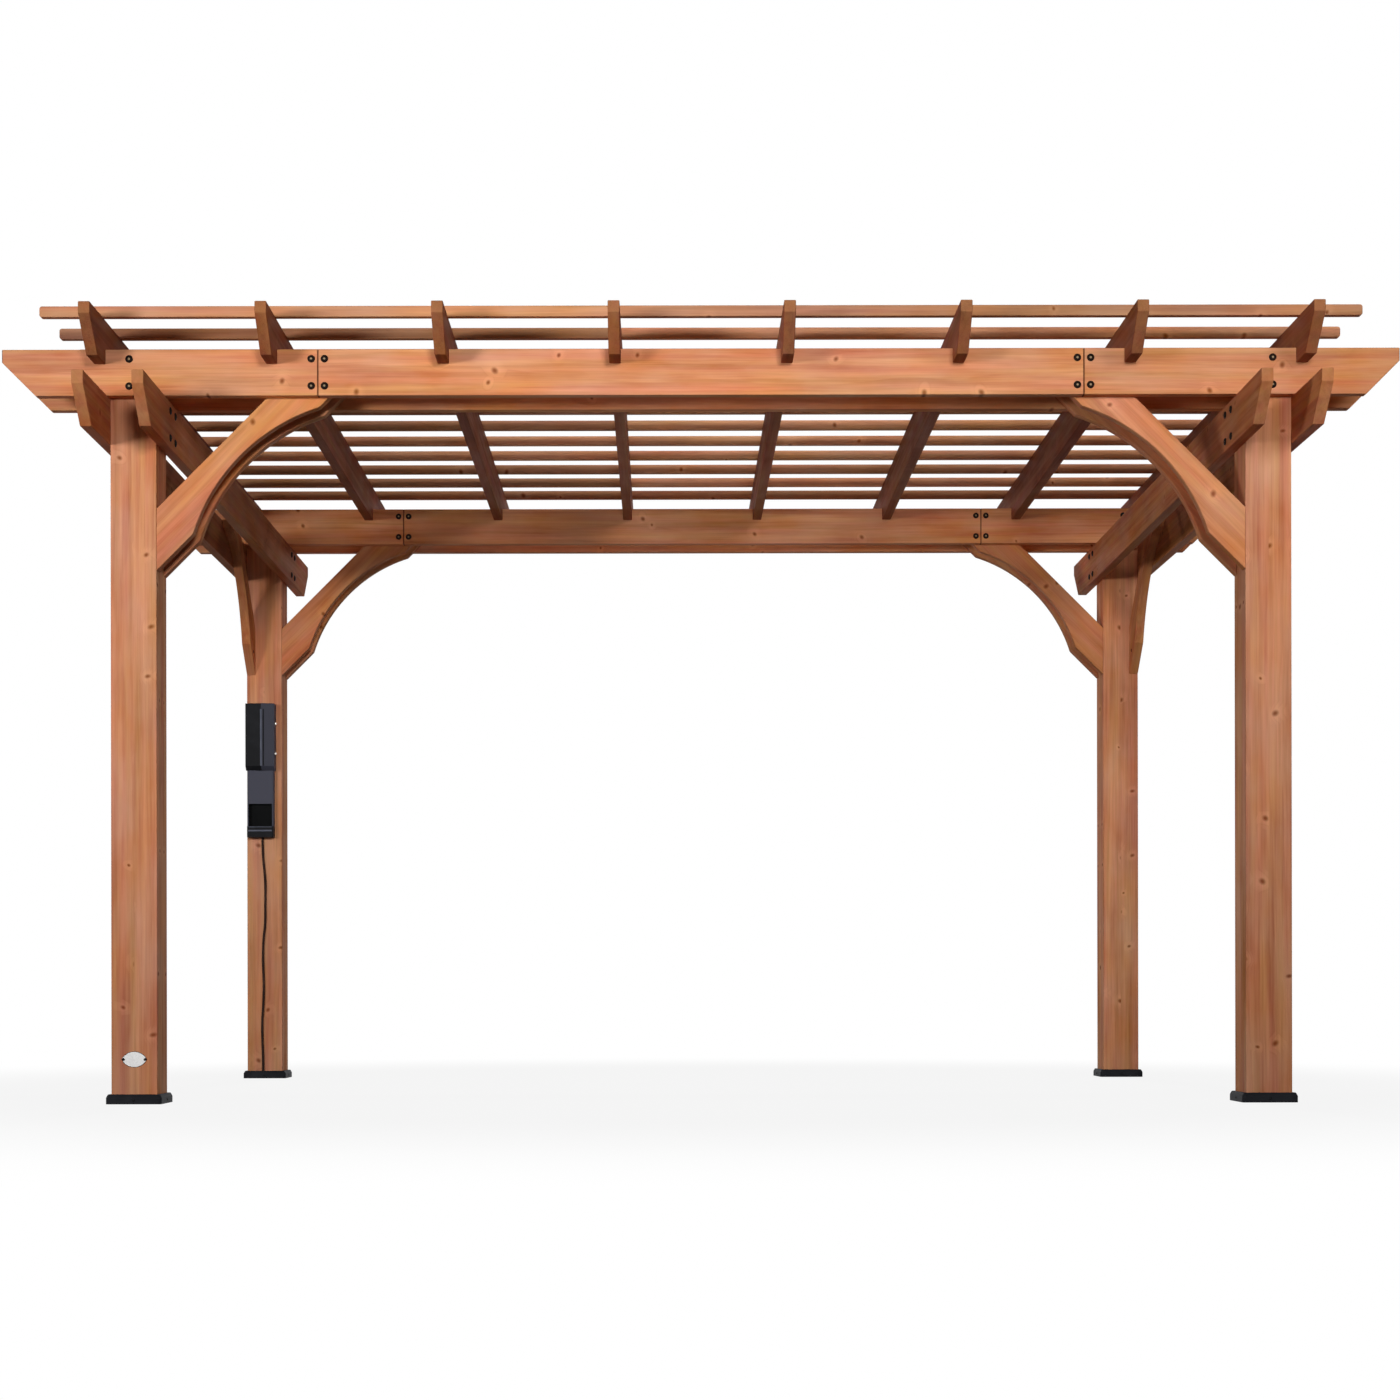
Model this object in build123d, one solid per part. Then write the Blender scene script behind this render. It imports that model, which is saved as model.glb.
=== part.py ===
"""Wooden garden pergola: four posts, paired beams, knee braces, notched rafters and roof slats.

Millimetres, +Z up, with the origin on the ground under the middle of the frame.
The front is towards -Y, the long beams run along X and the rafters along Y.
"""
import os
from math import radians, sqrt, tan

from build123d import *

# Posts
post_side = 140.0
posts_outer_width = 3591.0
posts_outer_depth = 2448.0

# Sawn boards of the beams, braces and rafters
board_thickness = 35.0

# Beams: the side beams lie below the long beams
headroom = 2005.0
beam_height = 140.0
beam_nose = 39.0
beam_end_run = 101.0
beam_length = 4230.0
beam_middle_length = 2318.0
side_beam_length = 3110.0

# Knee braces, measured from the corner of a post and the underside of the long beams
brace_width = 133.0
brace_drop = 334.0
brace_foot_run = 111.0
brace_curve_run = 385.0
brace_curve_rise = 67.0

# Rafters, notched over the long beams
rafter_count = 8
rafter_spread = 3636.0
rafter_length = 2914.0
rafter_height = 133.0
rafter_nose = 34.0
rafter_end_run = 99.0
notch_depth = 45.0
notch_clearance = 0.4

# Roof slats, each in two lengths that meet over a rafter
slat_count = 12
slat_margin = 163.0
slat_length = 3985.0
slat_height = 33.0
slat_thickness = 25.0
slat_joint_gap = 2.0
slat_end_radius = 8.0
rafter_count_before_joint = 3

# Covers round the feet of the posts
cover_wall = 15.0
cover_height = 30.0
cover_corner = 10.0
cover_slope_run = 6.0
cover_slope_height = 10.0
cover_clearance = 0.4

# Power box on the front face of the rear left post
box_bottom = 969.0
box_width = 106.0
box_height = 536.0
box_depth = 34.0
box_margin = 6.0
box_corner = 5.0
hood_width = 116.0
hood_height = 268.0
hood_depth = 58.0
hood_side_depth = 46.0
hood_ridge_share = 0.56
hood_lower_bevel = 16.0
pocket_height = 90.0
pocket_depth = 22.0
pocket_wall = 6.0
lip_height = 44.0
lip_depth = 8.0
lip_groove_height = 4.0
lip_groove_depth = 2.0
lip_groove_pitch = 12.0

# Supply lead along the post, from the power box into the cover at its foot
lead_diameter = 10.0
lead_clearance = 0.3
lead_socket_depth = 18.0
lead_bend_share = 0.45
# Sideways place from the middle of the post and height above the ground
lead_route = [
    (-7.0, box_bottom),
    (-7.0, 915.0),
    (-1.0, 850.0),
    (5.0, 780.0),
    (3.0, 700.0),
    (4.0, 625.0),
    (-5.0, 555.0),
    (-6.5, 470.0),
    (-2.5, 385.0),
    (-4.5, 305.0),
    (-10.0, 225.0),
    (-9.0, 150.0),
    (-6.0, 78.0),
    (-6.0, cover_height - lead_socket_depth),
]

# One overrun serves all cuts
cut_overrun = 10.0

# Places worked out from the sizes above
post_x = (posts_outer_width - post_side) / 2
post_y = (posts_outer_depth - post_side) / 2
beam_bottom = headroom + beam_height
beam_top = beam_bottom + beam_height
rafter_bottom = beam_top - notch_depth
rafter_top = rafter_bottom + rafter_height
face_offset = (post_side + board_thickness) / 2
rafter_spacing = rafter_spread / (rafter_count - 1)
rafter_places = [rafter_spacing * i - rafter_spread / 2 for i in range(rafter_count)]
first_slat_y = -rafter_length / 2 + slat_margin + slat_thickness / 2
slat_pitch = -2 * first_slat_y / (slat_count - 1)
slat_joint_x = rafter_places[rafter_count_before_joint]
brace_reach = brace_drop + brace_width * sqrt(2)

SIDES = {"left": -1, "right": 1}
ENDS = {"front": -1, "rear": 1}
UP = Vector(0, 0, 1)

# Section of the boards with shaped ends: height, height of the upright nose, run of the slanted cut
beam_section = (beam_height, beam_nose, beam_end_run)
rafter_section = (rafter_height, rafter_nose, rafter_end_run)


def upright_board(outline, origin, along):
    """Stand an outline on edge along a direction and give it the board's thickness."""
    along = Vector(*along)
    plane = Plane(origin=origin, x_dir=along, z_dir=along.cross(UP))
    return extrude(plane * outline, amount=board_thickness / 2, both=True)


def board_outline(section, start, end, start_shaped=True, end_shaped=True):
    """Side view of a board, with its underside cut away at each shaped end."""
    height, nose, end_run = section
    points = [(start, height)]
    if start_shaped:
        points += [(start, height - nose), (start + end_run, 0)]
    else:
        points += [(start, 0)]
    if end_shaped:
        points += [(end - end_run, 0), (end, height - nose)]
    else:
        points += [(end, 0)]
    points += [(end, height)]
    return make_face(Polyline(*points, close=True))


def brace_outline(top):
    """Side view of a knee brace: a board at 45 degrees with a hollow curve in its underside."""
    foot_end = (brace_foot_run, brace_foot_run - brace_reach)
    curve_end = (foot_end[0] + brace_curve_run, foot_end[1] + brace_curve_run)
    rise = brace_curve_rise / sqrt(2)
    crown = ((foot_end[0] + curve_end[0]) / 2 - rise, (foot_end[1] + curve_end[1]) / 2 + rise)
    edges = Polyline((0, -brace_reach), foot_end)
    edges += ThreePointArc(foot_end, crown, curve_end)
    edges += Polyline(
        curve_end,
        (brace_reach + top, top),
        (brace_drop + top, top),
        (0, -brace_drop),
        (0, -brace_reach),
    )
    return make_face(edges)


def post(side, end):
    height = beam_top
    block = Box(post_side, post_side, height, align=(Align.CENTER, Align.CENTER, Align.MIN))
    return Pos(side * post_x, end * post_y, 0) * block


def foot_cover(side, end):
    """Low skirt round a post, with round corners and a sloped rim."""
    outer_side = post_side + 2 * cover_wall
    rim_side = outer_side - 2 * cover_slope_run
    inner_side = post_side + 2 * cover_clearance
    band_height = cover_height - cover_slope_height
    foot = RectangleRounded(outer_side, outer_side, cover_corner)
    rim = RectangleRounded(rim_side, rim_side, cover_corner - cover_slope_run)
    skirt = extrude(foot, amount=band_height)
    skirt += loft([Pos(0, 0, band_height) * foot, Pos(0, 0, cover_height) * rim])
    skirt -= extrude(Rectangle(inner_side, inner_side), amount=cover_height)
    return Pos(side * post_x, end * post_y, 0) * skirt


def beam_pieces(end, face):
    """The three lengths of one long board: left, middle and right, butted over the braces."""
    tip = beam_length / 2
    seam = beam_middle_length / 2
    origin = (0, end * (post_y + face * face_offset), beam_bottom)
    outlines = {
        "left": board_outline(beam_section, -tip, -seam, end_shaped=False),
        "middle": board_outline(beam_section, -seam, seam, start_shaped=False, end_shaped=False),
        "right": board_outline(beam_section, seam, tip, start_shaped=False),
    }
    return {name: upright_board(outline, origin, (1, 0, 0)) for name, outline in outlines.items()}


def side_beam(side, face):
    outline = board_outline(beam_section, -side_beam_length / 2, side_beam_length / 2)
    return upright_board(outline, (side * (post_x + face * face_offset), 0, headroom), (0, 1, 0))


def beam_brace(side, end):
    """Pair of brace boards under a long beam, flush with the front and back of the post."""
    outline = brace_outline(beam_height)
    corner_x = side * (post_x - post_side / 2)
    inset = (post_side - board_thickness) / 2
    boards = []
    for face in (-1, 1):
        origin = (corner_x, end * post_y + face * inset, beam_bottom)
        boards.append(upright_board(outline, origin, (-side, 0, 0)))
    return Compound(children=boards)


def side_brace(side, end):
    """Single brace board under a side beam, flush with the outer side of the post."""
    corner_y = end * (post_y - post_side / 2)
    inset = (post_side - board_thickness) / 2
    origin = (side * (post_x + inset), corner_y, beam_bottom)
    return upright_board(brace_outline(0), origin, (0, -end, 0))


def rafter(place):
    """Roof board with a notch over each of the four long boards that carry it."""
    outline = board_outline(rafter_section, -rafter_length / 2, rafter_length / 2)
    board = upright_board(outline, (place, 0, rafter_bottom), (0, 1, 0))
    notch = Box(
        board_thickness + cut_overrun,
        board_thickness + 2 * notch_clearance,
        notch_depth + cut_overrun,
        align=(Align.CENTER, Align.CENTER, Align.MAX),
    )
    for end in ENDS.values():
        for face in (-1, 1):
            board -= Pos(place, end * (post_y + face * face_offset), beam_top) * notch
    return board


def slat_piece(start, end, place):
    """One length of a roof slat, rounded at its outer end."""
    piece = Pos((start + end) / 2, place, rafter_top) * Box(
        end - start, slat_thickness, slat_height, align=(Align.CENTER, Align.CENTER, Align.MIN)
    )
    outer_end = piece.faces().sort_by(lambda face: abs(face.center().X))[-1]
    corners = outer_end.edges().filter_by(Axis.Y)
    return fillet(corners, slat_end_radius)


def slat_rows(numbers):
    """Slats of the given numbers, counted from the front, each in two lengths."""
    pieces = []
    for number in numbers:
        place = first_slat_y + slat_pitch * number
        pieces.append(slat_piece(-slat_length / 2, slat_joint_x - slat_joint_gap / 2, place))
        pieces.append(slat_piece(slat_joint_x + slat_joint_gap / 2, slat_length / 2, place))
    return Compound(children=pieces)


def box_frame():
    """Corner on the rear left post's front face from which the power box is measured."""
    left = -post_x - post_side / 2 + box_margin
    face = post_y - post_side / 2
    return left + box_width / 2, face


def block(width, depth, height, x, face, bottom):
    """Upright block whose back lies on a face and which stands forward of it."""
    solid = Box(width, depth, height, align=(Align.CENTER, Align.MAX, Align.MIN))
    return Pos(x, face, bottom) * solid


def power_box():
    """Back box with a pocket over a ribbed lip, below the place of the hood."""
    x, face = box_frame()
    body_height = box_height - hood_height
    body = block(box_width, box_depth, body_height, x, face, box_bottom)
    front_corners = body.edges().filter_by(Axis.Z).sort_by(Axis.Y)[:2]
    body = fillet(front_corners, box_corner)
    pocket_face = face - box_depth + pocket_depth
    body -= block(
        box_width - 2 * pocket_wall,
        pocket_depth + cut_overrun,
        pocket_height,
        x,
        pocket_face,
        box_bottom + lip_height,
    )
    lip = block(box_width, box_depth + lip_depth, lip_height, x, face, box_bottom)
    lip = fillet(lip.edges().filter_by(Axis.Z).sort_by(Axis.Y)[:2], box_corner)
    for row in (1, 2):
        lip -= block(
            box_width + cut_overrun,
            lip_groove_depth + cut_overrun,
            lip_groove_height,
            x,
            face - box_depth - lip_depth + lip_groove_depth,
            box_bottom + lip_height - row * lip_groove_pitch,
        )
    return body + lip


def power_box_hood():
    """Closed weather hood over the sockets, folded along an upright ridge and sloped off below."""
    x, face = box_frame()
    left = x - hood_width / 2
    right = x + hood_width / 2
    plan = Polyline(
        (left, face),
        (left, face - hood_side_depth),
        (left + hood_ridge_share * hood_width, face - hood_depth),
        (right, face - hood_side_depth),
        (right, face),
        close=True,
    )
    hood = Pos(0, 0, box_bottom + box_height - hood_height) * extrude(make_face(plan), amount=hood_height)
    front_edges = hood.faces().sort_by(Axis.Z)[0].edges().sort_by(Axis.Y)[:2]
    return chamfer(front_edges, hood_lower_bevel)


def lead_place(sideways, height):
    """Point on the middle of the lead, which lies along the front face of the rear left post."""
    return Vector(sideways - post_x, post_y - post_side / 2 - lead_clearance - lead_diameter / 2, height)


def lead_line():
    """Route of the supply lead: straight runs joined by bends as wide as the runs allow."""
    points = [lead_place(sideways, height) for sideways, height in lead_route]
    radii = []
    for before, corner, after in zip(points, points[1:], points[2:]):
        turn = radians((corner - before).get_angle(after - corner))
        shorter = min((corner - before).length, (after - corner).length)
        radii.append(lead_bend_share * shorter / tan(turn / 2))
    print("lead bend radii", [round(radius) for radius in radii])
    return FilletPolyline(*points, radius=radii)


def supply_lead():
    line = lead_line()
    section = Plane(origin=line @ 0, z_dir=line % 0) * Circle(lead_diameter / 2)
    return sweep(section, path=line)


def lead_socket():
    """Round socket in the top of the foot cover that takes the lead's lower end."""
    bore = Cylinder(
        lead_diameter / 2 + lead_clearance,
        lead_socket_depth + cut_overrun,
        align=(Align.CENTER, Align.CENTER, Align.MIN),
    )
    return Pos(lead_place(lead_route[-1][0], cover_height - lead_socket_depth)) * bore


def all_nodes():
    nodes = {}
    for end_name, end in ENDS.items():
        for side_name, side in SIDES.items():
            corner = end_name + "_" + side_name
            nodes[corner + "_post"] = post(side, end)
            nodes[corner + "_foot_cover"] = foot_cover(side, end)
            nodes[corner + "_beam_brace"] = beam_brace(side, end)
            nodes[corner + "_side_brace"] = side_brace(side, end)
        for face_name, face in (("outer", 1), ("inner", -1)):
            for piece_name, piece in beam_pieces(end, face).items():
                nodes["%s_%s_beam_%s" % (end_name, face_name, piece_name)] = piece
    for side_name, side in SIDES.items():
        for face_name, face in (("outer", 1), ("inner", -1)):
            nodes["%s_%s_side_beam" % (side_name, face_name)] = side_beam(side, face)
    for number, place in enumerate(rafter_places):
        nodes["rafter_%d" % (number + 1)] = rafter(place)
    half = slat_count // 2
    nodes["front_roof_slats"] = slat_rows(range(half))
    nodes["rear_roof_slats"] = slat_rows(range(half, slat_count))
    nodes["rear_left_foot_cover"] -= lead_socket()
    nodes["power_box"] = power_box()
    nodes["power_box_hood"] = power_box_hood()
    nodes["supply_lead"] = supply_lead()
    return nodes


os.makedirs("parts", exist_ok=True)
for name, shape in all_nodes().items():
    export_step(shape, "parts/%s.step" % name)
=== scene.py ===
"""Looks of a stained cedar garden pergola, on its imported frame. Metres, +Z up, front towards -Y."""
import math
import random

import bmesh
import bpy
from mathutils import Matrix, Vector


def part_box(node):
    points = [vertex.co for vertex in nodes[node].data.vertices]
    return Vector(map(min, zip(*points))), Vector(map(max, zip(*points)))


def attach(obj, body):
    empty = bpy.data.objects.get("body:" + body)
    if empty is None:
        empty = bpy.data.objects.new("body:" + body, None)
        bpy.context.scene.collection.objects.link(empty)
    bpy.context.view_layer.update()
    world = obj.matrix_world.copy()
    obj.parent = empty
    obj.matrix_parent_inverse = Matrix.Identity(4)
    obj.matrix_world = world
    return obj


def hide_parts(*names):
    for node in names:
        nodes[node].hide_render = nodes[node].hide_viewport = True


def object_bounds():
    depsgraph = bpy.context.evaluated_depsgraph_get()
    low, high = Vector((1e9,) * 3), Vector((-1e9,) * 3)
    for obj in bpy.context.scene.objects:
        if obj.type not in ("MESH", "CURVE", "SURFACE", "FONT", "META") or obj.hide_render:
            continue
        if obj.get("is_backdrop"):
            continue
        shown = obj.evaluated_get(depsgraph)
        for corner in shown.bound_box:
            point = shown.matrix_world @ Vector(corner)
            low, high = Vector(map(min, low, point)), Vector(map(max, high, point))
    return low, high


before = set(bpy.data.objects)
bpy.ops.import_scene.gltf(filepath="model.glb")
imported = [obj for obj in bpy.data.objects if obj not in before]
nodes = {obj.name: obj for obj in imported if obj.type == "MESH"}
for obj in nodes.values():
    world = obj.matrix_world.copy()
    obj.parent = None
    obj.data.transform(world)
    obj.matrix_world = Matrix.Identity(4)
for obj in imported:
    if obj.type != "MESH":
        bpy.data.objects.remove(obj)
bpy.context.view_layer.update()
MM = 0.001
HALF_ROOT = math.sqrt(0.5)
WHITE = (1, 1, 1, 1)
SIDES = {"left": -1, "right": 1}
ENDS = {"front": -1, "rear": 1}

# Camera, as read from the photograph's vanishing point
CAMERA_PLACE = (-0.109, -8.310, 0.319)
CAMERA_ROLL = -0.00165
IMAGE_SIDE = 1400
FOCAL_PIXELS = 2330.6
SENSOR = 36.0
VANISHING_POINT = (665.9, 998.4)

# Studio: soft lights with their place, target, spread in degrees and watts, a dim sky and a pale floor
LIGHTS = {
    "right_light": ((1.0, -10.5, 3.0), (0.0, 0.0, 2.15), 56, 54),
    "near_right_light": ((3.4, -4.6, 2.7), (1.9, -1.2, 2.1), 50, 5),
    "low_left_light": ((-4.6, -6.0, 1.8), (-0.4, -0.6, 1.9), 70, 37),
    "under_roof_light": ((0.0, -3.2, 0.4), (0.0, 1.1, 2.2), 40, 2.5),
    "left_side_light": ((-4.6, 0.2, 2.0), (-1.8, 0.0, 1.7), 100, 5),
    "right_side_light": ((4.6, 0.2, 2.0), (1.8, 0.0, 1.7), 100, 5),
    "rear_light": ((0.0, 26.0, 6.0), (0.0, 0.0, 2.0), 30, 110),
    "roof_light": ((0.0, 18.0, 22.0), (0.0, 0.0, 2.3), 30, 150),
}
LIGHT_SIZE = (1.4, 1.0)
SKY_STRENGTH = 0.06
FLOOR_PAINT = "#5E5C5A"
FLOOR_SIDE = 120.0
FLOOR_WHITE_SHARE = 0.9
SHADOW_REACH = (2.2, 4.5)

# Boards: seeds of their patterns, and the counts and sizes that tell apart the boards of one node
BOARD_SEED = 7
BOARD_SEED_RANGE = (0, 100)
SLAT_SEEDS = {"front": 3.0, "rear": 40.0}
SEED_STEP_OF_ROW = 3.1
SEED_STEP_OF_LENGTH = 1.7
PATTERN_SHIFT = (31.0, 17.0, 23.0)
RAFTER_COUNT = 8
SLATS_IN_NODE = 6
SLAT_THICKNESS = 25 * MM
SLAT_JOINT_RAFTER = "rafter_4"
BRACE_BOARD_PITCH = 105 * MM

# Knots: the cell that may hold one, their radii, slant and shape, and the reach of core and halo in radii
KNOT_BROWN = "#82492B"
KNOT_CELL = (210 * MM, 80 * MM)
KNOT_RADII = (4.5 * MM, 10.0 * MM)
KNOT_STRETCH = (1.15, 0.9, 0)
KNOT_SLANT_LIMIT = 0.9
KNOT_SLANT_ON_POST = 0.3
KNOT_CORE_REACH = (0.2, 1.5)
KNOT_CORE_DEPTH = 0.9
KNOT_HALO_REACH = (0.8, 4.5)
KNOT_HALO_TINT = -0.18
POST_WRAP_RADIUS = 80 * MM
POST_FACE_SHIFT = 1.37

# Growth rings: their pitch, the pith's place from the board's middle, and how far they wander and bend
RING_PITCH = 9 * MM
RING_WANDER_SIZE = (1100 * MM, 250 * MM)
RING_WANDER = 70 * MM
RING_BEND = 14 * MM
PITH_ACROSS = 120 * MM
PITH_DEPTHS = (50 * MM, 160 * MM)
RING_START = 0.25
RING_STEPS = ((0.12, 0.0), (0.5, 0.12), (0.9, 1.0))
RING_END = 0.3
RING_TINT = 0.12

# Uneven stain: length, width and noise detail of its marks, and their weight in the tint.
# The fibres are drawn far wider than real ones, so as to show.
STAIN_MARKS = {
    "broad strips": (700 * MM, 31 * MM, 2),
    "narrow strips": (400 * MM, 10.5 * MM, 2),
    "fibres": (110 * MM, 2.5 * MM, 2),
    "clouds": (220 * MM, 100 * MM, 3),
}
STAIN_WEIGHTS = {"broad strips": 1.0, "narrow strips": 0.55, "fibres": 0.3, "clouds": 1.15}
STAIN_TINT = 0.28

# Tone, gloss and relief of the stained timber
CLOUD_VALUE = 0.5
DRIFT_RANGE = (0.3, 0.7)
HUES = (0.489, 0.508)
SATURATIONS = (0.96, 1.10)
TIMBER_ROUGHNESS = (0.52, 0.7)
TIMBER_SHINE = 0.015
FIBRE_RELIEF = 0.8
RELIEF_STRENGTH = 0.25
RELIEF_HEIGHT = 0.6 * MM

# Cut ends, by how far a face turns to the grain, and seams between lengths
END_OCHRE = "#A8744A"
END_FACING = (0.5, 0.8)
END_DEPTH = 0.7
END_FIBRES = 1.6
SEAM_BROWN = "#4A2818"
SEAM_REACH = (1.5 * MM, 3.5 * MM)
SEAM_DEPTH = 0.8

# Moulded plastic and plated steel: size, relief, tone and gloss of their fine marks
GRIT_SIZE = 3 * MM
GRIT_STRENGTH = 0.2
GRIT_HEIGHT = 0.3 * MM
GRIT_GLOSS = 0.06
DUST_SIZE = 60 * MM
DUST_RANGE = (0.42, 0.75)
PLASTIC_SHINE = 0.06
FILM_SIZE = 4 * MM
FILM_GLOSS = 0.1
FILM_TONES = (0.8, 1.2)

# Eased edges of the sawn timber, of the moulded plastic and of its trim
TIMBER_EDGE = 2.5 * MM
PLASTIC_EDGE = 1.2 * MM
TRIM_EDGE = 0.5 * MM
EDGE_SEGMENTS = 2
WELD_DISTANCE = 0.02 * MM
FLAT_ANGLE = math.radians(0.5)
CORNER_ANGLE = math.radians(25)
TURNED_CORNER_ANGLE = math.radians(50)

# Bolts through the boards: a dark domed head with a drive recess, its paler colour a painted highlight.
# Heads of bolts and screws are turned, and given as radii and heights in millimetres.
BOLT_EDGE_DISTANCE = 29 * MM
BOLT_SEAM_DISTANCE = 20 * MM
BOLT_POST_SPACING = 72 * MM
BOLT_POST_OFFSET = 4.5 * MM
BOLT_HEAD = [(11.5, 0.0), (11.5, 1.2), (10.4, 2.6), (8.0, 4.0), (5.0, 4.8), (3.8, 4.9), (3.4, 3.0)]
BOLT_RECESS = [(3.3, 2.9), (3.3, 3.6), (2.3, 4.1), (0.8, 4.3)]
TURN_STEPS = 24

# Screws: in the side braces, round the foot covers and on the hood
BRACE_SCREW_FROM_POST = 45 * MM
BRACE_SCREW_HEIGHT = 1712 * MM
BRACE_SCREW_HEAD = [(7.0, 0.0), (7.0, 0.5), (6.0, 1.0), (4.4, 0.8), (3.8, 0.5)]
COVER_SCREW_HEIGHT = 12 * MM
COVER_SCREW_HEAD = [(4.0, 0.0), (4.0, 0.8), (3.2, 1.5), (1.6, 1.7), (1.2, 0.8)]
HOOD_SCREW_DEPTH = 23 * MM
HOOD_SCREW_HEIGHTS = (1426 * MM, 1306 * MM)
HOOD_SCREW_HEAD = [(6.0, 0.0), (6.0, 2.6), (5.0, 4.6), (2.6, 5.6), (1.8, 4.0)]

# Power box: its tones and its trim, a black lining in the pocket as painted shade, beads on the lip, a rib
# on the hood with a painted highlight and a line beside it as painted shade; the slate on the right part of
# the hood is painted light
BOX_BLACK = "#0D0E11"
BOX_WORN = "#1A1B1F"
BOX_ROUGHNESS = 0.42
HOOD_PAINTED_LIGHT_SLATE = "#3C3D48"
PANEL_SLATE = "#4A4B57"
LIP_HEIGHT = 44 * MM
LIP_DEPTH = 8 * MM
POCKET_HEIGHT = 90 * MM
POCKET_DEPTH = 22 * MM
POCKET_WALL = 6 * MM
LINING_THICKNESS = 1.2 * MM
BEAD_DROPS_AND_HEIGHTS = ((2.0 * MM, 2.5 * MM), (15.0 * MM, 6.0 * MM))
BEAD_PROUD = 1.2 * MM
HOOD_RIDGE_SHARE = 0.56
HOOD_RIB_MARGINS = (17 * MM, 24 * MM)
HOOD_RIB_WIDTH = 7 * MM
HOOD_RIB_PROUD = 1.5 * MM
HOOD_LINE_OFFSET = 9 * MM
HOOD_LINE_WIDTH = 4 * MM

# Bare oval plate on the front left post, pointed at its two ends
PLATE_WIDTH = 78 * MM
PLATE_HEIGHT = 49 * MM
PLATE_THICKNESS = 1.6 * MM
PLATE_RIM = 1.6 * MM
PLATE_RIM_RISE = 1.0 * MM
PLATE_ARC_STEPS = 24
PLATE_CENTRE_HEIGHT = 136 * MM
PLATE_SCREW_OFFSET = 33 * MM
PLATE_SCREW_HEAD = [(4.4, 0.0), (4.4, 0.6), (3.4, 1.4), (1.6, 1.6), (1.2, 0.8)]

# Supply lead: its route as sideways place from the post's middle and height above ground, in millimetres
LEAD_DIAMETER = 10 * MM
LEAD_CLEARANCE = 0.3 * MM
LEAD_ROUTE = [
    (-7.0, 969.0),
    (-7.0, 915.0),
    (-1.0, 850.0),
    (5.0, 780.0),
    (3.0, 700.0),
    (4.0, 625.0),
    (-5.0, 555.0),
    (-6.5, 470.0),
    (-2.5, 385.0),
    (-4.5, 305.0),
    (-10.0, 225.0),
    (-9.0, 150.0),
    (-6.0, 78.0),
    (-6.0, 12.0),
]


def linear(hex_colour):
    """Linear red, green, blue and alpha of an sRGB hex value."""
    parts = [int(hex_colour[i:i + 2], 16) / 255 for i in (1, 3, 5)]
    return tuple(c / 12.92 if c <= 0.04045 else ((c + 0.055) / 1.055) ** 2.4 for c in parts) + (1.0,)


def add(tree, kind, inputs=None, **settings):
    """Add a node, set its properties, and set or link its inputs."""
    node = tree.nodes.new(kind)
    for name, value in settings.items():
        setattr(node, name, value)
    for key, value in (inputs or {}).items():
        if isinstance(value, bpy.types.NodeSocket):
            tree.links.new(value, node.inputs[key])
        else:
            node.inputs[key].default_value = value
    return node


def new_material(name):
    """An empty material and its node tree."""
    material = bpy.data.materials.new(name)
    material.use_nodes = True
    tree = material.node_tree
    tree.nodes.clear()
    return material, tree


def board_place(tree, pitch, joint):
    """Place along, across and through a board, its chance values and a shift of its pattern."""
    place = add(tree, "ShaderNodeTexCoord").outputs["Object"]
    own = {
        key: add(tree, "ShaderNodeAttribute", attribute_type="OBJECT", attribute_name=key).outputs
        for key in ("board_middle", "grain", "face", "board_seed")
    }
    local = add(tree, "ShaderNodeVectorMath", {0: place, 1: own["board_middle"]["Vector"]},
                operation="SUBTRACT").outputs[0]
    grain, face = own["grain"]["Vector"], own["face"]["Vector"]
    side = add(tree, "ShaderNodeVectorMath", {0: face, 1: grain}, operation="CROSS_PRODUCT").outputs[0]
    along, across, depth = (
        add(tree, "ShaderNodeVectorMath", {0: local, 1: way}, operation="DOT_PRODUCT").outputs["Value"]
        for way in (grain, side, face)
    )
    number = own["board_seed"]["Fac"]
    if pitch:
        # Boards that share a node are told apart by their row
        row = add(tree, "ShaderNodeMath", {0: depth, 1: pitch}, operation="DIVIDE").outputs[0]
        whole = add(tree, "ShaderNodeMath", {0: row}, operation="FLOOR").outputs[0]
        part = add(tree, "ShaderNodeMath", {0: row, 1: whole}, operation="SUBTRACT").outputs[0]
        depth = add(tree, "ShaderNodeMath", {0: part, 1: pitch, 2: -pitch / 2},
                    operation="MULTIPLY_ADD").outputs[0]
        number = add(tree, "ShaderNodeMath", {0: whole, 1: SEED_STEP_OF_ROW, 2: number},
                     operation="MULTIPLY_ADD").outputs[0]
    if joint is not None:
        # The two lengths of a slat are told apart by the joint between them
        beyond = add(tree, "ShaderNodeMath", {0: along, 1: joint}, operation="GREATER_THAN").outputs[0]
        number = add(tree, "ShaderNodeMath", {0: beyond, 1: SEED_STEP_OF_LENGTH, 2: number},
                     operation="MULTIPLY_ADD").outputs[0]
    chance = add(tree, "ShaderNodeTexWhiteNoise", {"W": number}, noise_dimensions="1D").outputs["Color"]
    shift = add(tree, "ShaderNodeVectorMath", {0: chance, 1: PATTERN_SHIFT},
                operation="MULTIPLY").outputs[0]
    chances = add(tree, "ShaderNodeSeparateColor", {0: chance}).outputs
    return along, across, depth, chances, shift


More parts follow.
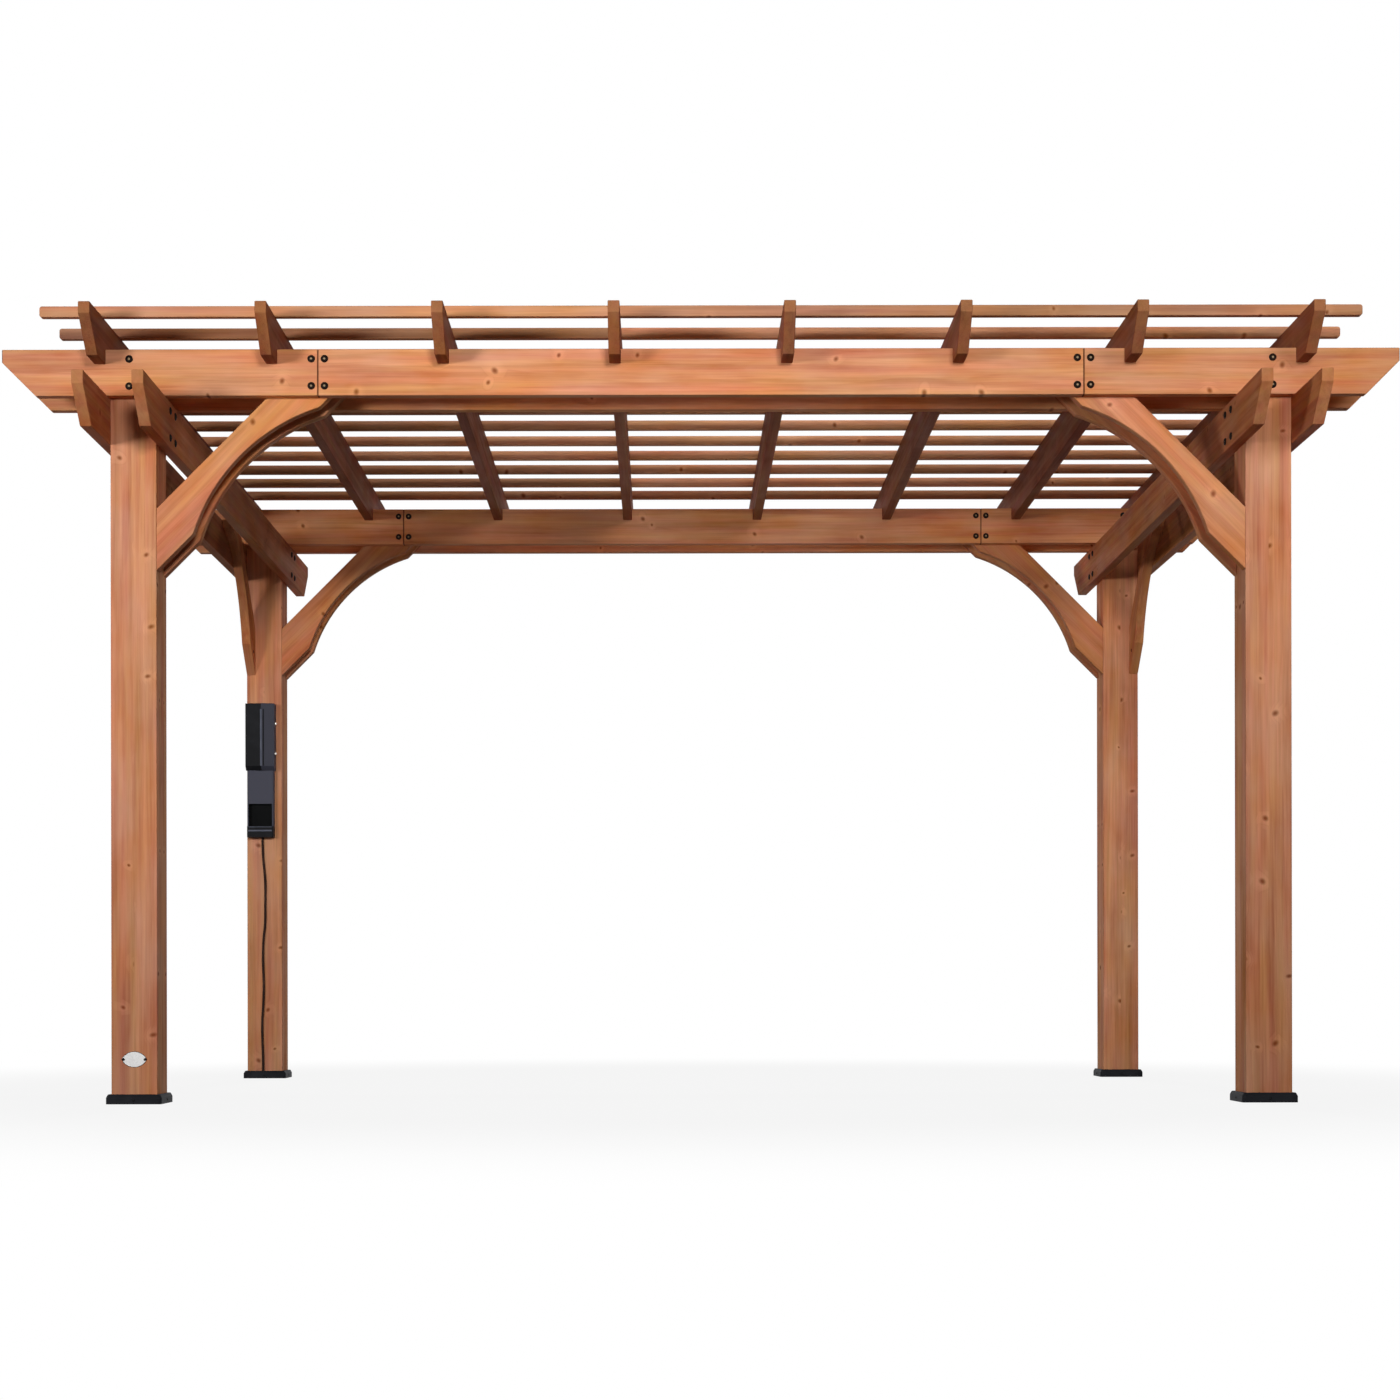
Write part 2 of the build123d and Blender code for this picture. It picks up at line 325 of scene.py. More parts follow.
def wrapped_round_post(tree, along, across, depth):
    """Place along and round a square post, mirrored about the middle of each face.

    Knots then stand in pairs there, as branches round a pith do.
    """
    angle = add(tree, "ShaderNodeMath", {0: across, 1: depth}, operation="ARCTAN2").outputs[0]
    quarter = add(tree, "ShaderNodeMath", {0: angle, 1: math.pi / 2}, operation="DIVIDE").outputs[0]
    quarter = add(tree, "ShaderNodeMath", {0: quarter}, operation="ROUND").outputs[0]
    along = add(tree, "ShaderNodeMath", {0: quarter, 1: POST_FACE_SHIFT, 2: along},
                operation="MULTIPLY_ADD").outputs[0]
    turn = add(tree, "ShaderNodeMath", {0: angle, 1: POST_WRAP_RADIUS}, operation="MULTIPLY").outputs[0]
    turn = add(tree, "ShaderNodeMath", {0: turn, 1: POST_WRAP_RADIUS * math.pi / 4},
               operation="PINGPONG").outputs[0]
    return along, turn


def cedar_knots(tree, along, across, shift, share, least_slant):
    """Core and halo of small slanted knots, 9 to 20 mm across, one in a share of the cells."""
    flat = add(tree, "ShaderNodeCombineXYZ", {0: along, 1: across}).outputs[0]
    flat = add(tree, "ShaderNodeVectorMath", {0: flat, 1: shift}, operation="ADD").outputs[0]
    cells = add(tree, "ShaderNodeVectorMath", {0: flat, 1: (1 / KNOT_CELL[0], 1 / KNOT_CELL[1], 0)},
                operation="MULTIPLY").outputs[0]
    spots = add(tree, "ShaderNodeTexVoronoi", {"Vector": cells, "Scale": 1.0},
                voronoi_dimensions="2D").outputs
    away = add(tree, "ShaderNodeVectorMath", {0: cells, 1: spots["Position"]},
               operation="SUBTRACT").outputs[0]
    away = add(tree, "ShaderNodeVectorMath", {0: away, 1: (*KNOT_CELL, 0)}, operation="MULTIPLY").outputs[0]
    picked = add(tree, "ShaderNodeSeparateColor", {0: spots["Color"]}).outputs
    slant = add(tree, "ShaderNodeMapRange", {0: picked[2], 3: least_slant, 4: KNOT_SLANT_LIMIT}).outputs[0]
    away = add(tree, "ShaderNodeVectorRotate", {"Vector": away, "Angle": slant},
               rotation_type="Z_AXIS").outputs[0]
    away = add(tree, "ShaderNodeVectorMath", {0: away, 1: KNOT_STRETCH}, operation="MULTIPLY").outputs[0]
    gap = add(tree, "ShaderNodeVectorMath", {0: away}, operation="LENGTH").outputs["Value"]
    present = add(tree, "ShaderNodeMath", {0: picked[0], 1: share}, operation="LESS_THAN").outputs[0]
    radius = add(tree, "ShaderNodeMapRange", {0: picked[1], 3: KNOT_RADII[0], 4: KNOT_RADII[1]}).outputs[0]
    ratio = add(tree, "ShaderNodeMath", {0: gap, 1: radius}, operation="DIVIDE").outputs[0]
    parts = []
    for (near, far), strength in ((KNOT_CORE_REACH, KNOT_CORE_DEPTH), (KNOT_HALO_REACH, 1.0)):
        part = add(tree, "ShaderNodeMapRange", {0: ratio, 1: near, 2: far, 3: strength, 4: 0.0},
                   interpolation_type="SMOOTHSTEP").outputs[0]
        parts.append(add(tree, "ShaderNodeMath", {0: part, 1: present}, operation="MULTIPLY").outputs[0])
    return parts


def growth_rings(tree, across, depth, seeded, chances, halo):
    """Dark late wood of growth rings about a pith in or beside the board, bent round the knots.

    They give straight or arched lines on the faces and arcs on the ends. They are 9 mm apart,
    about three times as wide as real ones, so as to show.
    """
    length, width = RING_WANDER_SIZE
    wander = add(tree, "ShaderNodeVectorMath", {0: seeded, 1: (1 / length, 1 / width, 1 / width)},
                 operation="MULTIPLY").outputs[0]
    wander = add(tree, "ShaderNodeTexNoise", {"Vector": wander, "Scale": 1.0, "Detail": 3.0}).outputs[1]
    wander = add(tree, "ShaderNodeVectorMath", {0: wander, 1: (0.0, RING_WANDER, RING_WANDER)},
                 operation="MULTIPLY").outputs[0]
    pith = add(tree, "ShaderNodeCombineXYZ", {
        1: add(tree, "ShaderNodeMapRange", {0: chances[0], 3: -PITH_ACROSS, 4: PITH_ACROSS}).outputs[0],
        2: add(tree, "ShaderNodeMapRange", {0: chances[1], 3: PITH_DEPTHS[0], 4: PITH_DEPTHS[1]}).outputs[0],
    }).outputs[0]
    ringed = add(tree, "ShaderNodeCombineXYZ", {1: across, 2: depth}).outputs[0]
    ringed = add(tree, "ShaderNodeVectorMath", {0: ringed, 1: wander}, operation="ADD").outputs[0]
    ringed = add(tree, "ShaderNodeVectorMath", {0: ringed, 1: pith}, operation="ADD").outputs[0]
    reach = add(tree, "ShaderNodeVectorMath", {0: ringed}, operation="LENGTH").outputs["Value"]
    reach = add(tree, "ShaderNodeMath", {0: halo, 1: RING_BEND, 2: reach},
                operation="MULTIPLY_ADD").outputs[0]
    rings = add(tree, "ShaderNodeMath", {0: reach, 1: RING_PITCH}, operation="DIVIDE").outputs[0]
    ring = add(tree, "ShaderNodeMath", {0: rings}, operation="FRACT").outputs[0]
    year = add(tree, "ShaderNodeMath", {0: rings}, operation="FLOOR").outputs[0]
    year = add(tree, "ShaderNodeTexWhiteNoise", {"W": year}, noise_dimensions="1D").outputs["Value"]
    ramp = add(tree, "ShaderNodeValToRGB", {0: ring})
    stops = ramp.color_ramp.elements
    stops[0].color = (RING_START, RING_START, RING_START, 1)
    stops[1].color = (RING_END, RING_END, RING_END, 1)
    for position, value in RING_STEPS:
        stops.new(position).color = (value, value, value, 1)
    return add(tree, "ShaderNodeMath", {0: ramp.outputs[0], 1: year}, operation="MULTIPLY").outputs[0]


def stain_layers(tree, seeded):
    """Level about zero and colour of each kind of mark in the stain."""
    levels = {}
    colours = {}
    for mark, (length, width, detail) in STAIN_MARKS.items():
        scaled = add(tree, "ShaderNodeVectorMath", {0: seeded, 1: (1 / length, 1 / width, 1 / width)},
                     operation="MULTIPLY").outputs[0]
        noise = add(tree, "ShaderNodeTexNoise", {"Vector": scaled, "Scale": 1.0, "Detail": detail}).outputs
        levels[mark] = add(tree, "ShaderNodeMath", {0: noise["Fac"], 1: 0.5},
                           operation="SUBTRACT").outputs[0]
        colours[mark] = noise["Color"]
    return levels, colours


def cut_end(tree, fibres):
    """How far a face is cut across the grain, uneven with the fibres."""
    grain = add(tree, "ShaderNodeAttribute", attribute_type="OBJECT",
                attribute_name="grain").outputs["Vector"]
    facing = add(tree, "ShaderNodeTexCoord").outputs["Normal"]
    facing = add(tree, "ShaderNodeVectorMath", {0: facing, 1: grain},
                 operation="DOT_PRODUCT").outputs["Value"]
    facing = add(tree, "ShaderNodeMath", {0: facing}, operation="ABSOLUTE").outputs[0]
    cut = add(tree, "ShaderNodeMapRange", {
        0: facing, 1: END_FACING[0], 2: END_FACING[1], 3: 0.0, 4: END_DEPTH}).outputs[0]
    uneven = add(tree, "ShaderNodeMath", {0: fibres, 1: END_FIBRES, 2: cut},
                 operation="MULTIPLY_ADD").outputs[0]
    return add(tree, "ShaderNodeMath", {0: uneven, 1: cut}, operation="MULTIPLY",
               use_clamp=True).outputs[0]


def seam(tree, along):
    """A dark line at both ends of a length that butts against another."""
    half = add(tree, "ShaderNodeAttribute", attribute_type="OBJECT",
               attribute_name="board_half").outputs["Fac"]
    reach = add(tree, "ShaderNodeMath", {0: along}, operation="ABSOLUTE").outputs[0]
    to_end = add(tree, "ShaderNodeMath", {0: half, 1: reach}, operation="SUBTRACT").outputs[0]
    return add(tree, "ShaderNodeMapRange", {
        0: to_end, 1: SEAM_REACH[0], 2: SEAM_REACH[1], 3: SEAM_DEPTH, 4: 0.0}).outputs[0]


def stained_cedar(name, early, late, spread=0.1, share=0.4, square=False, pitch=None, joint=None,
                  seamed=False):
    """Sawn cedar under a satin red-brown stain.

    It gives the eye soft lengthwise strips and clouds of uneven stain, fine fibres, faint rings,
    small reddish knots with paler wood round them, and ochre ends where the grain drinks the stain.
    Boards differ in tone by the spread, and a share of the cells holds a knot. The pitch is the
    distance between boards of one node, and the joint is the place where two lengths meet.
    """
    material, tree = new_material(name)
    along, across, depth, chances, shift = board_place(tree, pitch, joint)
    board = add(tree, "ShaderNodeCombineXYZ", {0: along, 1: across, 2: depth}).outputs[0]
    seeded = add(tree, "ShaderNodeVectorMath", {0: board, 1: shift}, operation="ADD").outputs[0]
    if square:
        post_along, post_turn = wrapped_round_post(tree, along, across, depth)
        core, halo = cedar_knots(tree, post_along, post_turn, shift, share, KNOT_SLANT_ON_POST)
    else:
        core, halo = cedar_knots(tree, along, across, shift, share, -KNOT_SLANT_LIMIT)
    late_wood = growth_rings(tree, across, depth, seeded, chances, halo)
    levels, colours = stain_layers(tree, seeded)

    # The stain darkens in late wood and along the strips, and stays pale round the knots
    tint = add(tree, "ShaderNodeMath", {0: late_wood, 1: RING_TINT, 2: STAIN_TINT},
               operation="MULTIPLY_ADD").outputs[0]
    for mark, weight in STAIN_WEIGHTS.items():
        tint = add(tree, "ShaderNodeMath", {0: levels[mark], 1: weight, 2: tint},
                   operation="MULTIPLY_ADD").outputs[0]
    tint = add(tree, "ShaderNodeMath", {0: halo, 1: KNOT_HALO_TINT, 2: tint}, operation="MULTIPLY_ADD",
               use_clamp=True).outputs[0]
    colour = add(tree, "ShaderNodeMix", {0: tint, 6: linear(early), 7: linear(late)},
                 data_type="RGBA").outputs[2]
    colour = add(tree, "ShaderNodeMix", {0: core, 6: colour, 7: linear(KNOT_BROWN)},
                 data_type="RGBA").outputs[2]

    # Each board has its own tone, and the stain's red and ochre wander along the strips
    value = add(tree, "ShaderNodeMapRange", {0: chances[2], 3: 1 - spread, 4: 1 + spread}).outputs[0]
    value = add(tree, "ShaderNodeMath", {0: levels["clouds"], 1: CLOUD_VALUE, 2: value},
                operation="MULTIPLY_ADD").outputs[0]
    drift = add(tree, "ShaderNodeSeparateColor", {0: colours["broad strips"]}).outputs[1]
    hue = add(tree, "ShaderNodeMapRange", {
        0: drift, 1: DRIFT_RANGE[0], 2: DRIFT_RANGE[1], 3: HUES[0], 4: HUES[1]}).outputs[0]
    drift = add(tree, "ShaderNodeSeparateColor", {0: colours["clouds"]}).outputs[2]
    strength = add(tree, "ShaderNodeMapRange", {
        0: drift, 1: DRIFT_RANGE[0], 2: DRIFT_RANGE[1], 3: SATURATIONS[0], 4: SATURATIONS[1]}).outputs[0]
    colour = add(tree, "ShaderNodeHueSaturation", {
        "Hue": hue, "Saturation": strength, "Value": value, "Color": colour}).outputs[0]
    colour = add(tree, "ShaderNodeMix", {
        0: cut_end(tree, levels["fibres"]), 6: colour, 7: linear(END_OCHRE)}, data_type="RGBA").outputs[2]
    if seamed:
        colour = add(tree, "ShaderNodeMix", {0: seam(tree, along), 6: colour, 7: linear(SEAM_BROWN)},
                     data_type="RGBA").outputs[2]

    height = add(tree, "ShaderNodeMath", {0: levels["fibres"], 1: FIBRE_RELIEF, 2: late_wood},
                 operation="MULTIPLY_ADD").outputs[0]
    bump = add(tree, "ShaderNodeBump", {
        "Strength": RELIEF_STRENGTH, "Distance": RELIEF_HEIGHT, "Height": height}).outputs[0]
    gloss = add(tree, "ShaderNodeMapRange", {
        0: tint, 3: TIMBER_ROUGHNESS[0], 4: TIMBER_ROUGHNESS[1]}).outputs[0]
    shader = add(tree, "ShaderNodeBsdfPrincipled", {
        "Base Color": colour, "Roughness": gloss, "Normal": bump, "Specular IOR Level": TIMBER_SHINE})
    add(tree, "ShaderNodeOutputMaterial", {0: shader.outputs[0]})
    return material


def moulded_plastic(name, colour, worn, rough, beyond=None, split=None):
    """Injection moulded plastic, or rubber, with a fine grain and a thin film of dust.

    It gives the eye a dull, even sheen. The grain is 0.8 mm, drawn at 3 mm so as to show.
    A second tone, where there is one, starts at a place along one axis: a slate panel on the box, and
    painted light on the hood's right facet.
    """
    material, tree = new_material(name)
    place = add(tree, "ShaderNodeTexCoord").outputs["Object"]
    grit = add(tree, "ShaderNodeTexNoise", {
        "Vector": place, "Scale": 1 / GRIT_SIZE, "Detail": 2.0}).outputs["Fac"]
    dust = add(tree, "ShaderNodeTexNoise", {
        "Vector": place, "Scale": 1 / DUST_SIZE, "Detail": 4.0}).outputs["Fac"]
    dust = add(tree, "ShaderNodeMapRange", {0: dust, 1: DUST_RANGE[0], 2: DUST_RANGE[1]}).outputs[0]
    mixed = add(tree, "ShaderNodeMix", {0: dust, 6: linear(colour), 7: linear(worn)},
                data_type="RGBA").outputs[2]
    if split:
        axis, start = split
        spot = add(tree, "ShaderNodeSeparateXYZ", {0: place}).outputs[axis]
        past = add(tree, "ShaderNodeMath", {0: spot, 1: start}, operation="GREATER_THAN").outputs[0]
        mixed = add(tree, "ShaderNodeMix", {0: past, 6: mixed, 7: linear(beyond)},
                    data_type="RGBA").outputs[2]
    bump = add(tree, "ShaderNodeBump", {
        "Strength": GRIT_STRENGTH, "Distance": GRIT_HEIGHT, "Height": grit}).outputs[0]
    gloss = add(tree, "ShaderNodeMapRange", {
        0: grit, 3: rough - GRIT_GLOSS, 4: rough + GRIT_GLOSS}).outputs[0]
    shader = add(tree, "ShaderNodeBsdfPrincipled", {
        "Base Color": mixed, "Roughness": gloss, "Normal": bump, "Specular IOR Level": PLASTIC_SHINE})
    add(tree, "ShaderNodeOutputMaterial", {0: shader.outputs[0]})
    return material


def painted_steel(name, colour, metallic, rough, shine=0.5):
    """Plated, painted or enamelled steel of small fittings, slightly uneven in tone and gloss."""
    material, tree = new_material(name)
    place = add(tree, "ShaderNodeTexCoord").outputs["Object"]
    film = add(tree, "ShaderNodeTexNoise", {
        "Vector": place, "Scale": 1 / FILM_SIZE, "Detail": 3.0}).outputs["Fac"]
    gloss = add(tree, "ShaderNodeMapRange", {
        0: film, 3: rough - FILM_GLOSS, 4: rough + FILM_GLOSS}).outputs[0]
    value = add(tree, "ShaderNodeMapRange", {0: film, 3: FILM_TONES[0], 4: FILM_TONES[1]}).outputs[0]
    tone = add(tree, "ShaderNodeHueSaturation", {"Value": value, "Color": linear(colour)}).outputs[0]
    shader = add(tree, "ShaderNodeBsdfPrincipled", {
        "Base Color": tone, "Roughness": gloss, "Metallic": metallic, "Specular IOR Level": shine})
    add(tree, "ShaderNodeOutputMaterial", {0: shader.outputs[0]})
    return material


def ease_edges(thing, width):
    """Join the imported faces, drop the seams across flat faces and round the edges."""
    weld = thing.modifiers.new("join", "WELD")
    weld.merge_threshold = WELD_DISTANCE
    flat = thing.modifiers.new("flat faces", "DECIMATE")
    flat.decimate_type = "DISSOLVE"
    flat.angle_limit = FLAT_ANGLE
    ease = thing.modifiers.new("eased edges", "BEVEL")
    ease.width = width
    ease.segments = EDGE_SEGMENTS
    ease.limit_method = "ANGLE"
    ease.angle_limit = CORNER_ANGLE
    ease.harden_normals = True


def dress(name, material, edge):
    """Give a node of the frame its material and eased edges."""
    thing = nodes[name]
    thing.data.materials.clear()
    thing.data.materials.append(material)
    ease_edges(thing, edge)
    return thing


def middle_of(name):
    """The middle of a node's box."""
    low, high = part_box(name)
    return (low + high) / 2


# Timber: the posts and long beams are the palest, and the rafters the darkest; the rafters' dark stain and
# the side beams' darker stain are partly painted shade under the roof
slat_low, slat_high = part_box("front_roof_slats")
slat_pitch = (slat_high.y - slat_low.y - SLAT_THICKNESS) / (SLATS_IN_NODE - 1)
slat_joint = middle_of(SLAT_JOINT_RAFTER).x - middle_of("front_roof_slats").x
posts_cedar = stained_cedar("stained_cedar_posts", "#DA9C76", "#94543A", 0.06, share=0.5, square=True)
beams_cedar = stained_cedar("stained_cedar_beams", "#DE9E74", "#985434", 0.06, share=0.32, seamed=True)
# The side beams' darker stain is partly painted shade on their inner faces
shaded_side_beams_cedar = stained_cedar("stained_cedar_side_beams_partly_painted_shade", "#BE7E58", "#824830")
paired_cedar = stained_cedar("stained_cedar_paired_braces", "#CE8E66", "#8E5034", pitch=BRACE_BOARD_PITCH)
braces_cedar = stained_cedar("stained_cedar_side_braces", "#C8885E", "#8A4C30")
# The rafters' dark stain is partly painted shade from under the roof
shaded_rafters_cedar = stained_cedar("stained_cedar_rafters_partly_painted_shade", "#945A3E", "#5C3226", 0.12)
slats_cedar = stained_cedar("stained_cedar_slats", "#CC9672", "#84523A", 0.34, share=0.3,
                            pitch=slat_pitch, joint=slat_joint)
seeds = random.Random(BOARD_SEED)


def timber(name, material, grain, face, seed=None):
    """Dress a board, with its grain direction, the normal of its wide face and a seed for its pattern."""
    thing = dress(name, material, TIMBER_EDGE)
    thing["board_middle"] = [float(c) for c in middle_of(name)]
    thing["grain"] = [float(c) for c in grain]
    thing["face"] = [float(c) for c in face]
    thing["board_seed"] = seed or seeds.uniform(*BOARD_SEED_RANGE)
    low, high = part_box(name)
    thing["board_half"] = sum(abs(g) * (h - l) / 2 for g, l, h in zip(grain, low, high))


for end_name, end in ENDS.items():
    for side_name, side in SIDES.items():
        corner = end_name + "_" + side_name
        timber(corner + "_post", posts_cedar, (0, 0, 1), (0, 1, 0))
        timber(corner + "_beam_brace", paired_cedar, (-side * HALF_ROOT, 0, HALF_ROOT), (0, 1, 0))
        timber(corner + "_side_brace", braces_cedar, (0, -end * HALF_ROOT, HALF_ROOT), (1, 0, 0))
    for face_name in ("outer", "inner"):
        for length_name in ("left", "middle", "right"):
            timber("%s_%s_beam_%s" % (end_name, face_name, length_name), beams_cedar, (1, 0, 0), (0, 1, 0))
for side_name in SIDES:
    for face_name in ("outer", "inner"):
        timber("%s_%s_side_beam" % (side_name, face_name), shaded_side_beams_cedar, (0, 1, 0), (1, 0, 0))
for number in range(1, RAFTER_COUNT + 1):
    timber("rafter_%d" % number, shaded_rafters_cedar, (0, 1, 0), (1, 0, 0))
for end_name in ENDS:
    timber(end_name + "_roof_slats", slats_cedar, (1, 0, 0), (0, 1, 0), SLAT_SEEDS[end_name])

# Plastic covers and power box: nearly black, with slate above the lip, and on the right part of the hood
# slate that is painted light on its lit facet
box_low, box_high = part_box("power_box")
hood_low, hood_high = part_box("power_box_hood")
lip_top = box_low.z + LIP_HEIGHT
hood_ridge = hood_low.x + HOOD_RIDGE_SHARE * (hood_high.x - hood_low.x)
cover_plastic = moulded_plastic("moulded_polypropylene_covers", "#1C1D21", "#2A2B2F", 0.55)
box_plastic = moulded_plastic("moulded_abs_power_box", BOX_BLACK, BOX_WORN, BOX_ROUGHNESS,
                              PANEL_SLATE, ("Z", lip_top))
# The hood's right facet is lighter slate as painted light, while the left facet stays black
hood_plastic = moulded_plastic("moulded_abs_hood", BOX_BLACK, BOX_WORN, BOX_ROUGHNESS,
                               HOOD_PAINTED_LIGHT_SLATE, ("X", hood_ridge))
# Slate for the lip beads, and on the hood's rib a painted highlight along the ridge
slate_plastic = moulded_plastic("moulded_abs_slate_and_painted_highlight", "#565A68", "#6A6E7C", BOX_ROUGHNESS)
# A black sheet in the pocket and a black line on the hood: painted shade
black_shade_sheet = moulded_plastic("black_painted_shade_sheet", "#08090A", "#0E0F10", 0.7)
for end_name in ENDS:
    for side_name in SIDES:
        dress("%s_%s_foot_cover" % (end_name, side_name), cover_plastic, PLASTIC_EDGE)
dress("power_box", box_plastic, PLASTIC_EDGE)
dress("power_box_hood", hood_plastic, PLASTIC_EDGE)


def new_piece(name, data, materials):
    """A piece of the scene's own, on the frame's one body."""
    thing = bpy.data.objects.new(name, data)
    bpy.context.scene.collection.objects.link(thing)
    for material in materials:
        data.materials.append(material)
    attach(thing, "root")
    return thing


def mesh_of(name, shape):
    """A mesh with the faces of a bmesh, which is freed."""
    mesh = bpy.data.meshes.new(name)
    shape.to_mesh(mesh)
    shape.free()
    return mesh


def skin(shape, rings):
    """Join closed rings of equally many points by faces, and return these."""
    faces = []
    for lower, upper in zip(rings, rings[1:]):
        for step in range(len(lower)):
            after = (step + 1) % len(lower)
            faces.append(shape.faces.new((lower[step], lower[after], upper[after], upper[step])))
    return faces


def turned(shape, profile, centre, normal, finish):
    """Add a closed turned form to a mesh: radii and heights above a face, in millimetres."""
    tilt = Vector((0, 0, 1)).rotation_difference(Vector(normal))
    rings = []
    for radius, height in profile:
        ring = []
        for step in range(TURN_STEPS):
            angle = 2 * math.pi * step / TURN_STEPS
            spot = Vector((radius * math.cos(angle), radius * math.sin(angle), height)) * MM
            ring.append(shape.verts.new(Vector(centre) + tilt @ spot))
        rings.append(ring)
    faces = [shape.faces.new(rings[0][::-1]), shape.faces.new(rings[-1])]
    for face in faces + skin(shape, rings):
        face.smooth = True
        face.material_index = finish


def fasteners(name, places, forms):
    """One piece with a turned form, or several, at each place, given as a point and a normal."""
    profiles, materials = zip(*forms)
    shape = bmesh.new()
    for centre, normal in places:
        for finish, profile in enumerate(profiles):
            turned(shape, profile, centre, normal, finish)
    mesh = mesh_of(name, shape)
    mesh.set_sharp_from_angle(angle=TURNED_CORNER_ANGLE)
    new_piece(name, mesh, materials)


# Steel: bronzed bolts with a painted highlight in the recess, black screws, and zinc plated ones that catch
# the light
bronzed_steel = painted_steel("bronzed_steel_bolts", "#1C120C", 0.0, 0.55, 0.06)
# The pale recess is a painted highlight on the bolt's dome
painted_highlight_steel = painted_steel("painted_highlight_recess", "#8A7458", 0.3, 0.45, 0.2)
black_steel = painted_steel("blackened_steel_screws", "#0E0E10", 0.0, 0.5, 0.1)
zinc_steel = painted_steel("zinc_plated_steel_screws", "#D6D4CE", 0.85, 0.35)

# Bolts: pairs one above the other, at the seams and posts of the long beams and on the side beams
# The recess form carries the painted highlight
bolt_forms = [(BOLT_HEAD, bronzed_steel), (BOLT_RECESS, painted_highlight_steel)]
for end_name, end in ENDS.items():
    places = []
    for face_name, out in (("outer", end), ("inner", -end)):
        low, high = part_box("%s_%s_beam_middle" % (end_name, face_name))
        face = high.y if out > 0 else low.y
        post = middle_of(end_name + "_right_post").x + BOLT_POST_OFFSET
        steps = (high.x - BOLT_SEAM_DISTANCE, high.x + BOLT_SEAM_DISTANCE, post)
        for x in [way * step for way in SIDES.values() for step in steps]:
            for z in (low.z + BOLT_EDGE_DISTANCE, high.z - BOLT_EDGE_DISTANCE):
                places.append(((x, face, z), (0, out, 0)))
    fasteners(end_name + "_beam_bolts", places, bolt_forms)
for side_name, side in SIDES.items():
    places = []
    for face_name, out in (("outer", side), ("inner", -side)):
        low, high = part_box("%s_%s_side_beam" % (side_name, face_name))
        face = high.x if out > 0 else low.x
        for end_name in ENDS:
            post = middle_of("%s_%s_post" % (end_name, side_name)).y
            for y in (post - BOLT_POST_SPACING / 2, post + BOLT_POST_SPACING / 2):
                for z in (low.z + BOLT_EDGE_DISTANCE, high.z - BOLT_EDGE_DISTANCE):
                    places.append(((face, y, z), (out, 0, 0)))
    fasteners(side_name + "_side_beam_bolts", places, bolt_forms)
    places = []
    for end_name, end in ENDS.items():
        post_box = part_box("%s_%s_post" % (end_name, side_name))
        brace_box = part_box("%s_%s_side_brace" % (end_name, side_name))
        y = post_box[end < 0].y - end * BRACE_SCREW_FROM_POST
        places.append(((brace_box[side < 0].x, y, BRACE_SCREW_HEIGHT), (-side, 0, 0)))
    fasteners(side_name + "_side_brace_screws", places, [(BRACE_SCREW_HEAD, bronzed_steel)])

# Screws in the middle of each side of the foot covers
places = []
for end_name in ENDS:
    for side_name in SIDES:
        cover = "%s_%s_foot_cover" % (end_name, side_name)
        middle = middle_of(cover)
        for out, edge in zip((-1, 1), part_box(cover)):
            places.append(((middle.x, edge.y, COVER_SCREW_HEIGHT), (0, out, 0)))
            places.append(((edge.x, middle.y, COVER_SCREW_HEIGHT), (out, 0, 0)))
fasteners("foot_cover_screws", places, [(COVER_SCREW_HEAD, black_steel)])

# Two screws on the right side of the hood
screw_y = hood_high.y - HOOD_SCREW_DEPTH
places = [((hood_high.x, screw_y, height), (1, 0, 0)) for height in HOOD_SCREW_HEIGHTS]
fasteners("hood_screws", places, [(HOOD_SCREW_HEAD, zinc_steel)])


def trim(name, bars, material):
    """One piece of slim bars with eased edges, each given by its lowest and highest corner."""
    shape = bmesh.new()
    for low, high in bars:
        middle = (Vector(low) + Vector(high)) / 2
        sizes = [h - l for l, h in zip(low, high)]
        place = Matrix.Translation(middle) @ Matrix.Diagonal((*sizes, 1.0))
        bmesh.ops.create_cube(shape, size=1.0, matrix=place)
    piece = new_piece(name, mesh_of(name, shape), [material])
    ease = piece.modifiers.new("eased edges", "BEVEL")
    ease.width = TRIM_EDGE
    ease.segments = EDGE_SEGMENTS


# Power box trim, each piece seated on the face that carries it
body_front = box_low.y + LIP_DEPTH
pocket_back = body_front + POCKET_DEPTH
pocket_left = box_low.x + POCKET_WALL
pocket_right = box_high.x - POCKET_WALL
pocket_top = lip_top + POCKET_HEIGHT
# A black lining darkens the pocket: painted shade in the recess
trim("pocket_painted_shade", [
    ((pocket_left, pocket_back - LINING_THICKNESS, lip_top), (pocket_right, pocket_back, pocket_top)),
    ((pocket_left, body_front, lip_top), (pocket_left + LINING_THICKNESS, pocket_back, pocket_top)),
    ((pocket_right - LINING_THICKNESS, body_front, lip_top), (pocket_right, pocket_back, pocket_top)),
    ((pocket_left, body_front, pocket_top - LINING_THICKNESS), (pocket_right, pocket_back, pocket_top)),
    ((pocket_left, body_front, lip_top), (pocket_right, pocket_back, lip_top + LINING_THICKNESS)),
], black_shade_sheet)
beads = []
for drop, height in BEAD_DROPS_AND_HEIGHTS:
    top = lip_top - drop
    beads.append((
        (pocket_left, box_low.y - BEAD_PROUD, top - height),
        (pocket_right, box_low.y + POCKET_WALL, top),
    ))
trim("pocket_lip_beads", beads, slate_plastic)
rib_low = hood_low.z + HOOD_RIB_MARGINS[0]
rib_high = hood_high.z - HOOD_RIB_MARGINS[1]
